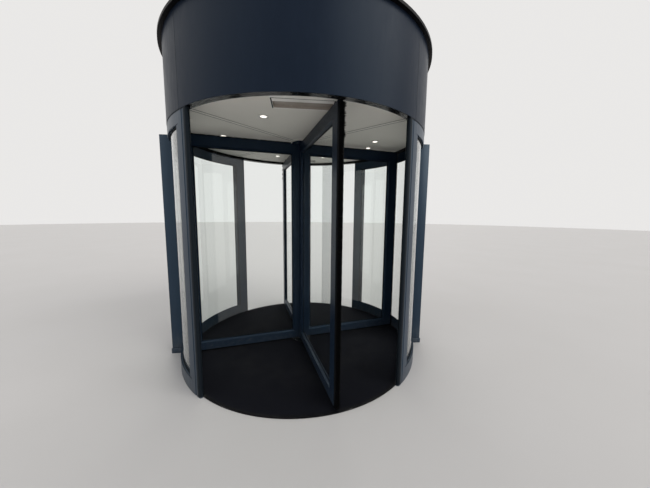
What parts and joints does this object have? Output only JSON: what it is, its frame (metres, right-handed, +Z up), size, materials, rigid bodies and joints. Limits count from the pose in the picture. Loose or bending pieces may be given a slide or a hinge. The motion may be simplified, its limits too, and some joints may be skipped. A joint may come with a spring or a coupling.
{
  "type": "revolving door",
  "caption": "Round revolving door with glazed wings on a centre column, curved glass side walls, a tall fascia canopy and a floor mat.",
  "frame": {"origin": "on the rotor's turning axis at floor level", "axes": "+Z up along the turning axis, -Y out through the front throat, +X along the building wall to the right seen from the front"},
  "size_m": [2.71, 2.5598, 2.875],
  "materials": {
    "frame_paint": "satin powder coat, dark blue grey",
    "soffit_gloss": "glossy near black",
    "trim_dark": "dark anodised",
    "mat_fibre": "dense dark pile matting",
    "steel": "brushed",
    "roof_metal": "galvanised sheet",
    "ceiling_paint": "matt light warm grey",
    "white_plastic": "satin white",
    "lamp_white": "white bezel and lens",
    "clear_glass": "clear laminated",
    "brush_black": "nylon bristles"
  },
  "bodies": {
    "drum": {"post_front_right": "frame_paint", "post_front_left": "frame_paint", "post_rear_right": "frame_paint", "post_rear_left": "frame_paint", "wall_base_right": "frame_paint", "wall_base_left": "frame_paint", "wall_head_right": "frame_paint", "wall_head_left": "frame_paint", "wall_middle_post_right": "frame_paint", "wall_middle_post_left": "frame_paint", "jamb_right": "frame_paint", "jamb_left": "frame_paint", "fascia_front": "frame_paint", "fascia_right": "frame_paint", "fascia_rear": "frame_paint", "fascia_left": "frame_paint", "head_bearing": "frame_paint", "floor_ring": "trim_dark", "floor_mat": "mat_fibre", "floor_bearing": "steel", "head_beam": "steel", "soffit_ring": "soffit_gloss", "top_ring": "soffit_gloss", "roof_sheet": "roof_metal", "ceiling_front": "ceiling_paint", "ceiling_right": "ceiling_paint", "ceiling_rear": "ceiling_paint", "ceiling_left": "ceiling_paint", "ceiling_strips": "ceiling_paint", "sensor_front": "white_plastic", "sensor_rear": "white_plastic", "ceiling_lights": "lamp_white", "wall_glass_front_right": "clear_glass", "wall_glass_front_left": "clear_glass", "wall_glass_rear_right": "clear_glass", "wall_glass_rear_left": "clear_glass"},
    "rotor": {"rotor_column": "frame_paint", "wing_front_frame": "frame_paint", "wing_front_glass": "clear_glass", "wing_front_brush": "brush_black", "wing_right_frame": "frame_paint", "wing_right_glass": "clear_glass", "wing_right_brush": "brush_black", "wing_rear_frame": "frame_paint", "wing_rear_glass": "clear_glass", "wing_rear_brush": "brush_black", "wing_left_frame": "frame_paint", "wing_left_glass": "clear_glass", "wing_left_brush": "brush_black"}
  },
  "joints": [
    {"name": "rotor_turn", "type": "hinge", "parent": "drum", "child": "rotor", "pos_m": [0, 0, 0], "axis": [0, 0, 1], "continuous": true}
  ]
}
